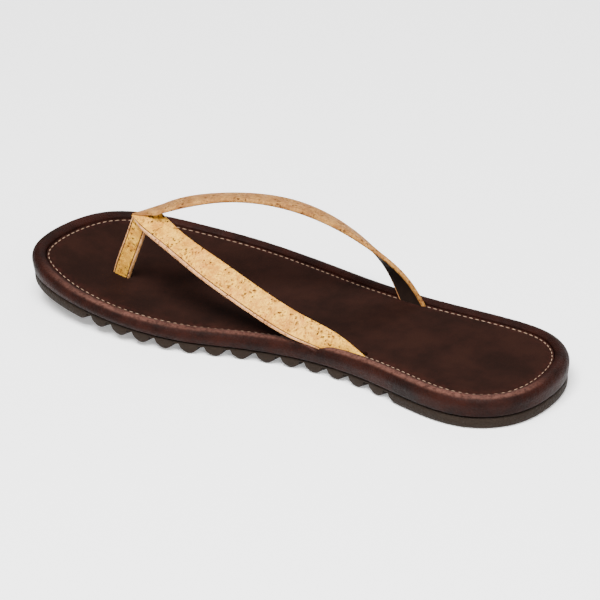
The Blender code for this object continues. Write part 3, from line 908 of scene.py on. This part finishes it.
@dataclass
class Strap:
    """A flat band of cork cloth on a core, with turned edge strips, a seam beside them and a lining below."""

    name: str
    # Rows of station, side, height, facing (the angle from straight up to the cork face) and width.
    route: tuple[Row, ...]
    side: int
    cloth: CorkCloth = CorkCloth()
    width: float = 12.5
    wall: float = 2.1
    steps: int = 150
    both_edges: bool = False
    # Where the strap runs out to a point, and the shares of its width and wall there.
    tip: Row | None = None
    tip_width: float = 0.05
    tip_wall: float = 0.4
    tip_steps: int = 10
    tail: float = 2.0
    tail_steps: int = 3
    # The hidden ends stop inside the outsole's plate, above its grooves.
    lowest: float = 4.5
    radius: float = 0.8
    corner_steps: int = 4
    strip: float = 0.85
    # The seam's groove beside the strip: rows of offset inwards, depth and what lies before the next row.
    seam: tuple[tuple[float, float, Part], ...] = (
        (-0.12, 0.0, Part.EDGE), (0.0, 0.1, Part.SEAM), (0.168, 0.3, Part.SEAM), (0.336, 0.3, Part.SEAM),
        (0.42, 0.08, Part.CORK), (0.57, 0.0, Part.CORK),
    )
    crown: float = 0.18
    crown_steps: int = 9
    lining_inset: float = 0.9
    lining_rise: float = 0.12
    lining_steps: int = 7
    smooth_angle: float = 50.0

    def edge_rows(self, sign: int, turned: bool) -> list[tuple[float, float, Part]]:
        """Trace the section from the lining over one edge to the top.

        Args:
            sign: 1 for the edge towards the toe, -1 for the other one.
            turned: whether the edge has a strip and a seam.

        Returns:
            Rows of across, through, and what lies between this corner and the next.
        """
        half, thick, kind = self.width / 2, self.wall / 2, Part.EDGE if turned else Part.CORK
        rows = [(half - self.lining_inset, through, kind) for through in (self.lining_rise - thick, -thick)]
        for middle, quarter in ((self.radius - thick, -1), (thick - self.radius, 0)):
            for step in range(self.corner_steps + 1):
                turn = math.pi / 2 * (step / self.corner_steps + quarter)
                across = half - self.radius * (1 - math.cos(turn))
                rows.append((across, middle + self.radius * math.sin(turn), kind))
        if turned:
            rows += [(half - self.strip - offset, thick - depth, part) for offset, depth, part in self.seam]
        return [(sign * across, through, part) for across, through, part in rows]

    def section(self) -> list[tuple[float, float, Part]]:
        """Return the whole section, round from the lining's toe side edge, over the top and back below."""
        near = self.edge_rows(1, True)
        back = self.edge_rows(-1, self.both_edges)[::-1]
        start, end, thick = near[-1][0], back[0][0], self.wall / 2
        top = [(start + (end - start) * share, thick + self.crown * math.sin(math.pi * share), Part.CORK)
               for share in np.linspace(0.0, 1.0, self.crown_steps + 1)[1:-1]]
        # Each row names what follows it, so the kinds move one row on where the order is turned round.
        kinds = [kind for _, _, kind in back[1:]] + [Part.LINING]
        far = [(across, through, kind) for (across, through, _), kind in zip(back, kinds)]
        edge = self.width / 2 - self.lining_inset
        under = [(edge * share, self.lining_rise - thick, Part.LINING)
                 for share in np.linspace(-1.0, 1.0, self.lining_steps + 1)[1:-1]]
        return near + top + far + under

    def frames(self) -> tuple[np.ndarray, ...]:
        """Work out the strap's course.

        Returns:
            Its middle, the directions across it and out of its cork face, and the shares of its width and
            wall, one row for each place along it.
        """
        samples = smooth_curve(self.route, self.steps + 1)
        centre = samples[:, :3]
        along = np.gradient(centre, axis=0)
        along /= np.linalg.norm(along, axis=1)[:, None]
        facing = np.radians(samples[:, 3])
        outward = np.column_stack([np.zeros(len(facing)), self.side * np.sin(facing), np.cos(facing)])
        across = np.cross(along, outward) * self.side
        across /= np.linalg.norm(across, axis=1)[:, None]
        normal = np.cross(across, along) * self.side
        broad = samples[:, 4] / self.width
        thick = np.ones(len(centre))
        if self.tip:
            share = np.linspace(self.tip_width, 1.0, self.tip_steps + 1)[:-1]
            tip = np.array(self.tip)
            centre = np.vstack([tip + (centre[0] - tip) * share[:, None], centre])
            across, normal = (np.vstack([np.repeat(part[:1], self.tip_steps, axis=0), part])
                              for part in (across, normal))
            broad = np.concatenate([broad[0] * share, broad])
            thick = np.concatenate([self.tip_wall + (1.0 - self.tip_wall) * share, thick])
        reach = np.linspace(0.0, self.tail, self.tail_steps + 1)[1:]
        centre = np.vstack([centre, centre[-1] + along[-1] * reach[:, None]])
        across, normal, broad, thick = (np.concatenate([part, np.repeat(part[-1:], self.tail_steps, axis=0)])
                                        for part in (across, normal, broad, thick))
        return centre, across, normal, broad, thick

    def build(self) -> bpy.types.Object:
        """Lay a grid round the section along the strap and close it."""
        section = self.section()
        centre, across, normal, broad, thick = self.frames()
        sideways, through = np.array([row[:2] for row in section + section[:1]]).T[:, :, None]
        places = centre + across * (sideways * broad)[..., None] + normal * (through * thick)[..., None]
        places[..., 2] = np.maximum(places[..., 2], self.lowest)
        piece = lay_grid(self.name, places, [kind.value for _, _, kind in section])
        with editing(piece, "VERT"):
            bpy.ops.mesh.select_all(action="DESELECT")
            bpy.ops.mesh.select_non_manifold()
            bpy.ops.mesh.edge_face_add()
            bpy.ops.mesh.select_all(action="SELECT")
            bpy.ops.mesh.normals_make_consistent(inside=False)
        smooth(piece, self.smooth_angle)
        for finish in (self.cloth, STRIP, SEAM, LINING):
            piece.data.materials.append(shared_finish(finish))
        settle(piece, "cork_cloth", "upper")
        return piece


@cache
def shared_finish(finish: CorkCloth | PlainFinish) -> bpy.types.Material:
    """Make a finish once and return the same material each time."""
    return finish.make()


@dataclass
class Upper:
    """The straps: medial, lateral and the post between the toes."""

    medial: Strap = field(default_factory=lambda: Strap("medial_strap", (
        (194.5, 17.5, 46.6, 31.0, 11.2), (188.0, 19.2, 44.3, 13.0, 12.3), (176.0, 22.1, 40.8, 6.4, 12.5),
        (158.0, 24.4, 34.9, 18.9, 12.6), (132.0, 25.6, 25.7, 27.2, 12.1), (112.0, 23.7, 18.1, 38.8, 11.3),
        (98.0, 21.0, 13.5, 57.4, 9.7), (84.0, 21.3, 7.4, 78.0, 9.7),
    ), 1, tip=(203.85, 17.4, 45.6)))
    lateral: Strap = field(default_factory=lambda: Strap("lateral_strap", (
        (191.5, 13.9, 49.9, 9.0, 11.8), (188.0, 12.3, 51.5, 9.1, 12.1), (168.0, -0.2, 55.7, 15.3, 12.5),
        (138.0, -16.2, 51.7, 11.4, 12.5), (113.0, -26.8, 37.4, 24.5, 12.5), (97.0, -30.0, 22.6, 52.0, 12.5),
        (88.5, -30.8, 7.6, 84.0, 12.5),
    ), -1, cloth=SHADED_CORK, tip=(203.85, 17.4, 46.0)))
    post: Strap = field(default_factory=lambda: Strap("toe_post", (
        (199.6, 16.2, 44.5, 90.0, 8.5), (206.6, 16.0, 28.0, 90.0, 8.5), (212.1, 15.7, 15.0, 90.0, 8.5),
        (213.6, 15.7, 9.8, 90.0, 8.5),
    ), 1, width=8.5, steps=40, both_edges=True, tail=1.0))

    def build(self) -> list[bpy.types.Object]:
        """Build the three straps."""
        return [strap.build() for strap in (self.medial, self.lateral, self.post)]


@dataclass(frozen=True)
class Lamp:
    """A square lamp turned to the sandal, with its place and side in metres and its power in watts."""

    name: str
    place: Row
    power: float
    size: float = 1.0

    def build(self) -> None:
        """Hang the lamp."""
        bpy.ops.object.light_add(type="AREA", location=self.place)
        lamp = bpy.context.active_object
        lamp.name = self.name
        lamp.data.size = self.size
        lamp.data.energy = self.power
        lamp.rotation_euler = (-Vector(self.place)).to_track_quat("-Z", "Y").to_euler()


@dataclass
class Studio:
    """A pale floor, soft light and the camera at the photograph's angle."""

    lamps: tuple[Lamp, ...] = (
        Lamp("key_light", (-0.2, 0.7, 1.6), 112.0),
        Lamp("fill_light", (-1.3, 0.7, 0.9), 22.0),
        Lamp("rim_light", (0.3, -1.3, 1.1), 12.0),
    )
    world_strength: float = 0.28
    azimuth: float = 215.5
    elevation: float = 25.6
    roll: float = -2.17
    # Where the camera stood, in metres, and the photograph's focal length in its own pixels.
    eye: Row = (-0.8998, 1.2580, 0.8164)
    focal_pixels: float = 2928.0
    image_pixels: float = 600.0
    sensor: float = 36.0
    # The sandal's middle in the photograph, which the closer view aims at.
    enlargement: float = 1.38
    aim: tuple[float, float] = (299.0, 389.0)
    near_clip: float = 0.1
    floor_colour: Colour = (0.9, 0.9, 0.9)
    floor_shade: Colour = (0.88, 0.88, 0.88)
    floor_cloud: float = 120.0
    floor_size: float = 6.0
    # A little light from the floor itself, which keeps the shadow under the sole soft.
    floor_glow: float = 0.35

    def add_floor(self) -> None:
        """Lay the floor under the sandal."""
        bpy.ops.object.select_all(action="DESELECT")
        bpy.ops.mesh.primitive_plane_add(size=self.floor_size)
        floor = bpy.context.active_object
        floor.name = "studio_floor"
        nodes = Nodes("studio_floor")
        colour = nodes.mix(nodes.noise(self.floor_cloud, 2.0) * 0.3, self.floor_colour, self.floor_shade)
        floor.data.materials.append(nodes.finish(
            base_color=colour, roughness=0.9, specular_ior_level=0.1, emission_color=WHITE,
            emission_strength=self.floor_glow))

    def add_camera(self) -> None:
        """Stand the camera where the photograph was taken and turn it to the sandal."""
        turn, tilt, roll = (math.radians(angle) for angle in (self.azimuth, self.elevation, self.roll))
        back = Vector((math.sin(turn) * math.cos(tilt), -math.cos(turn) * math.cos(tilt), math.sin(tilt)))
        right = Vector((math.cos(turn), math.sin(turn), 0.0))
        up = back.cross(right)
        across = right * math.cos(roll) + up * math.sin(roll)
        upward = up * math.cos(roll) - right * math.sin(roll)
        middle = self.image_pixels / 2
        back += upward * ((self.aim[1] - middle) / self.focal_pixels)
        back -= across * ((self.aim[0] - middle) / self.focal_pixels)
        back.normalize()
        across = upward.cross(back).normalized()
        upward = back.cross(across)
        bpy.ops.object.camera_add()
        camera = bpy.context.active_object
        camera.name = "photo_camera"
        turned = Matrix((across, upward, back)).transposed().to_4x4()
        camera.matrix_world = Matrix.Translation(self.eye) @ turned
        camera.data.sensor_width = self.sensor
        camera.data.lens = self.sensor * self.focal_pixels / self.image_pixels * self.enlargement
        camera.data.clip_start = self.near_clip
        bpy.context.scene.camera = camera

    def build(self) -> None:
        """Set up floor, lights, world and camera."""
        self.add_floor()
        for lamp in self.lamps:
            lamp.build()
        world = bpy.data.worlds.new("studio_world")
        world.use_nodes = True
        background = world.node_tree.nodes["Background"]
        background.inputs["Color"].default_value = WHITE
        background.inputs["Strength"].default_value = self.world_strength
        bpy.context.scene.world = world
        self.add_camera()


def main() -> None:
    """Build the sandal and the studio."""
    Studio().build()
    outline = SoleOutline()
    Outsole(outline).build()
    Sheet(outline, "wrapped_footbed", "footbed", "wrap_leather", WrapLeather()).build()
    sock = Sheet(outline, "suede_sock", "sock", "sock_suede", Suede()).build()
    Stitching(outline, sock).build()
    Upper().build()


if __name__ == "__main__":
    main()
